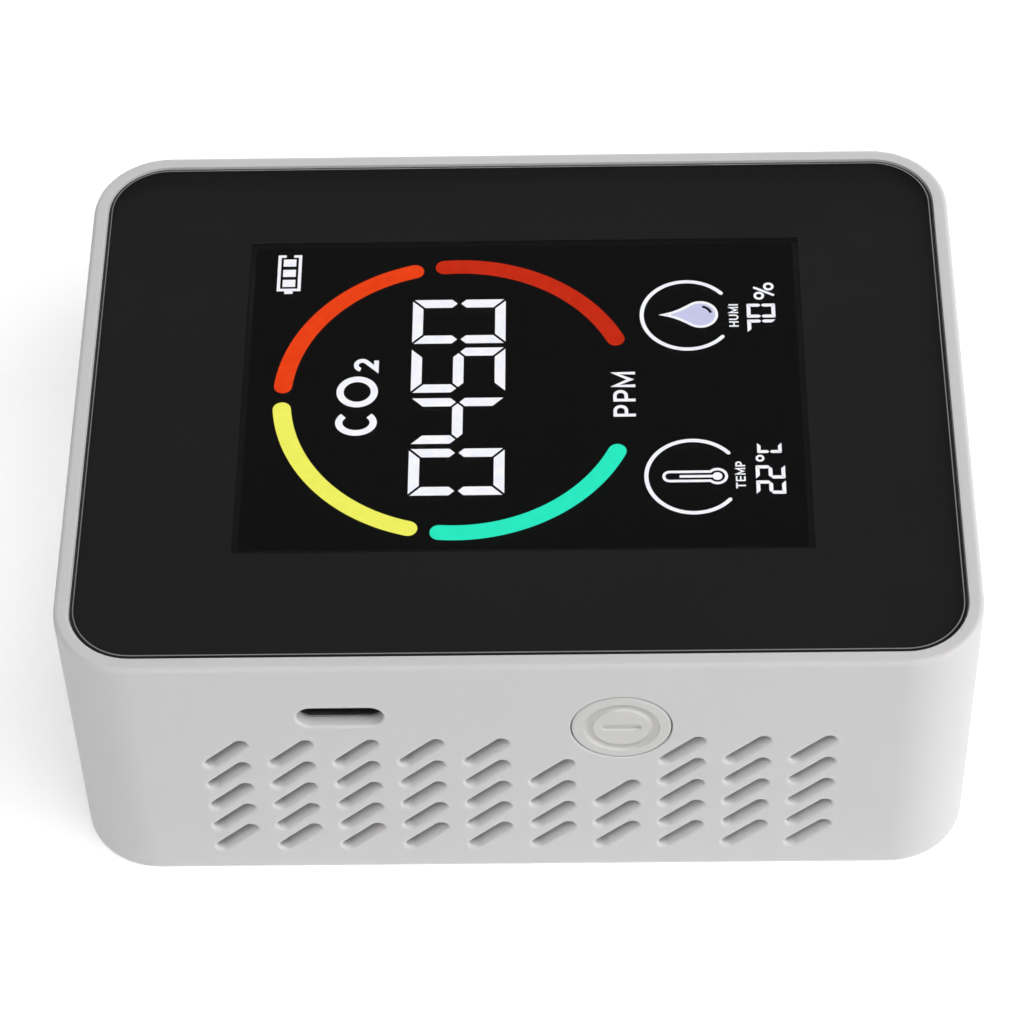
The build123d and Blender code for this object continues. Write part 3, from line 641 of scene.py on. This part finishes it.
READING_FOOT = 2.1
READING_PLACES = (-13.5, -6.65, 0.3, 7.1)
FORMULA_SIZE = (4.3, 0.74)       # height and stroke of the letters of the gas formula
FORMULA_FOOT = 15.3
INDEX_SIZE = (1.75, 2.6, 0.5)
UNIT_SIZE = (2.3, 0.36)
UNIT_FOOT = -11.4
BATTERY_SIDES = (14.95, 19.8)
BATTERY_EDGES = (24.1, 26.3)     # lower and upper
BATTERY_BARS = (15.9, 17.35, 18.85)
LABEL_HEIGHT = 1.0
LABEL_STROKE = 0.17
LABEL_GAP = 0.2
LABEL_WIDTHS = {"H": 0.75, "U": 0.75, "M": 0.9, "I": 0.17, "T": 0.75, "E": 0.65, "P": 0.65}
LABELS = (("HUMI", (9.0, -22.4)), ("TEMP", (-13.0, -22.4)))
SMALL_SIZE = (3.0, 0.4, 0.05)    # height, stroke and gap of the small figures
PERCENT_LINE = 0.28


def dial_arc(index):
    """One of the dial's four arcs, counted anticlockwise from the foot's right end."""
    start = DIAL_FIRST + index * DIAL_STEP
    return stroke(arc(DIAL_CENTRE, DIAL_RADIUS, start, start + DIAL_SPAN, 28), DIAL_STROKE)


def gas_reading():
    """The large four-figure reading."""
    shapes = []
    for place, character in zip(READING_PLACES, "0450"):
        shapes += moved(figure(character, *READING_SIZE), place, READING_FOOT)
    return shapes


def gas_units():
    """Gas formula over the reading and its unit below."""
    shapes = moved(letter("C", 3.5, *FORMULA_SIZE), -5.45, FORMULA_FOOT)
    shapes += moved(letter("O", 4.2, *FORMULA_SIZE), -1.6, FORMULA_FOOT)
    shapes += moved(letter("2", *INDEX_SIZE), 3.3, FORMULA_FOOT)
    for place, character, width in ((-3.25, "P", 1.55), (-1.2, "P", 1.55), (0.75, "M", 2.1)):
        shapes += moved(letter(character, width, *UNIT_SIZE), place, UNIT_FOOT)
    return shapes


def battery_symbol():
    """Battery in the upper right corner: a case with a gap in its end, a nub and three bars."""
    left, right = BATTERY_SIDES
    low, high = BATTERY_EDGES
    gap = 0.4
    line = 0.34
    nub_length = 0.38
    nub_width = 0.9
    bar_length = 1.0
    bar_width = 1.35
    middle = (low + high) / 2
    upper = [(right, middle + gap), (right, high), (left, high)]
    lower = [(left, low), (right, low), (right, middle - gap)]
    shapes = stroke(upper + lower, line, False)
    nub = left - line / 2
    shapes += stroke([(nub - nub_length, middle), (nub, middle)], nub_width, False)
    for bar in BATTERY_BARS:
        ends = [(bar - bar_length / 2, middle), (bar + bar_length / 2, middle)]
        shapes += stroke(ends, bar_width, False)
    return shapes


def icon_ring(centre):
    """The open ring round a symbol."""
    return stroke(arc(centre, ICON_RADIUS, -90 + ICON_OPEN, 270 - ICON_OPEN, 70), ICON_STROKE)


def drop_outline():
    """A water drop about the middle of its round part, point up, anticlockwise."""
    belly = arc((0, 0), DROP_RADIUS, 180 - DROP_LEAN, 360 + DROP_LEAN, 30)
    shoulder_u, shoulder_v = belly[-1]
    steps = 8
    side = []
    for i in range(1, steps):
        rise = i / steps
        u = shoulder_u * (1 - rise) ** DROP_HOLLOW
        side.append((u, shoulder_v + (DROP_TIP - shoulder_v) * rise))
    far_side = [(-u, v) for u, v in reversed(side)]
    return belly + side + [(0, DROP_TIP)] + far_side


def thermometer_symbol():
    """A thermometer: the tube and bulb as one line, with the filling inside."""
    u, v = TEMPERATURE_ICON
    bulb = (u, v - 2.45)
    top = (u, v + 2.4)
    level = (u, v + 1.4)
    neck = math.degrees(math.acos(THERMOMETER_TUBE / THERMOMETER_BULB))
    round_bulb = arc(bulb, THERMOMETER_BULB, 180 - neck, 360 + neck, 26)
    shapes = loop(round_bulb + arc(top, THERMOMETER_TUBE, 0, 180, 12), FINE_LINE)
    shapes.append([circle(bulb, THERMOMETER_FILLING, 36)])
    shapes += stroke([(u, bulb[1] + 0.49), level], 0.32, False)
    return shapes


def small_label(text, place):
    """A small label of even letters that starts at the place."""
    shapes = []
    u, v = place
    for character in text:
        width = LABEL_WIDTHS[character]
        shapes += moved(letter(character, width, LABEL_HEIGHT, LABEL_STROKE), u, v)
        u += width + LABEL_GAP
    return shapes


def small_readings():
    """Humidity in per cent and temperature in degrees Celsius."""
    shapes = moved(figure("7", 1.75, *SMALL_SIZE), 8.2, -26.3)
    shapes += moved(figure("0", 1.95, *SMALL_SIZE), 10.25, -26.3)
    for centre in ((13.35, -24.65), (14.65, -25.7)):
        shapes += ring(centre, 0.42, PERCENT_LINE)
    shapes += stroke([(13.45, -26.15), (14.5, -24.2)], PERCENT_LINE)
    for place in (-13.75, -11.75):
        shapes += moved(figure("2", 1.75, *SMALL_SIZE), place, -26.45)
    shapes += ring((-9.05, -23.95), 0.33, 0.24)
    shapes += moved(figure("C", 1.35, 2.5, 0.36, 0.05), -8.35, -26.2)
    return shapes


def draw_display(materials):
    """Everything the display shows, as thin lit plates on the panel under the lens."""
    white = materials["display_white"]
    black = materials["display_field"]
    half_u = WINDOW_HALF[0] - ACTIVE_MARGIN
    half_v = WINDOW_HALF[1] - ACTIVE_MARGIN
    field = [(-half_u, -half_v), (half_u, -half_v), (half_u, half_v), (-half_u, half_v)]
    flat_piece("display_field", [[field]], 0, black)
    arc_slots = ("display_red", "display_orange", "display_yellow", "display_turquoise")
    for index, slot in enumerate(arc_slots):
        shapes = moved(dial_arc(index), *PICTURE_SHIFT)
        flat_piece(slot + "_arc", shapes, 1, materials[slot])
    drop_u = DROP_MIDDLE[0] + PICTURE_SHIFT[0]
    drop_v = DROP_MIDDLE[1] + PICTURE_SHIFT[1]
    drop = moved([[drop_outline()]], drop_u, drop_v)
    glint = moved(stroke(arc((0, 0), 1.12, -72, -18), FINE_LINE), drop_u, drop_v)
    flat_piece("display_drop", drop, 1, materials["display_lavender"])
    flat_piece("display_drop_glint", glint, 2, black)
    drawings = {
        "display_gas_reading": gas_reading(),
        "display_gas_units": gas_units(),
        "display_battery": battery_symbol(),
        "display_icon_rings": icon_ring(HUMIDITY_ICON) + icon_ring(TEMPERATURE_ICON),
        "display_thermometer": thermometer_symbol(),
        "display_labels": sum((small_label(*label) for label in LABELS), []),
        "display_small_readings": small_readings(),
    }
    for name, shapes in drawings.items():
        flat_piece(name, moved(shapes, *PICTURE_SHIFT), 1, white)
    rim = moved(loop(drop_outline(), FINE_LINE), drop_u, drop_v)
    flat_piece("display_drop_rim", rim, 2, white)


# ---- small pieces in the receptacle ---------------------------------------------------------


CONTACTS_PER_FACE = 12
CONTACT_PITCH = 0.5 * MM
CONTACT_WIDTH = 0.27 * MM
CONTACT_LENGTH = 3.4 * MM
CONTACT_PROUD = 0.02 * MM
CONTACT_MIDDLE = 2.2 * MM        # from the tongue's front end
HALF_TONGUE = 0.35 * MM


def add_contacts(materials):
    """Gold contacts on both faces of the receptacle's tongue."""
    low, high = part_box("usb_tongue")
    middle_x = (low.x + high.x) / 2
    middle_z = (low.z + high.z) / 2
    size = Matrix.Diagonal((CONTACT_WIDTH, CONTACT_LENGTH, CONTACT_PROUD, 1))
    mesh = bpy.data.meshes.new("usb_contacts")
    form = bmesh.new()
    for side in (-1, 1):
        z = middle_z + side * (HALF_TONGUE + CONTACT_PROUD / 2)
        for index in range(CONTACTS_PER_FACE):
            x = middle_x + (index - (CONTACTS_PER_FACE - 1) / 2) * CONTACT_PITCH
            place = Matrix.Translation((x, low.y + CONTACT_MIDDLE, z))
            made = bmesh.ops.create_cube(form, size=1.0)
            bmesh.ops.transform(form, matrix=place @ size, verts=made["verts"])
    rounding = CONTACT_PROUD * 0.3
    bmesh.ops.bevel(form, geom=form.edges[:], offset=rounding, segments=2, affect="EDGES")
    form.to_mesh(mesh)
    form.free()
    mesh.materials.append(materials["pin_brass"])
    piece = bpy.data.objects.new("usb_contacts", mesh)
    bpy.context.scene.collection.objects.link(piece)
    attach(piece, "root")


# ---- the scene ------------------------------------------------------------------------------

make_camera()
light_scene()
make_floor()
materials = make_materials()
paint_nodes(materials)
draw_display(materials)
add_contacts(materials)
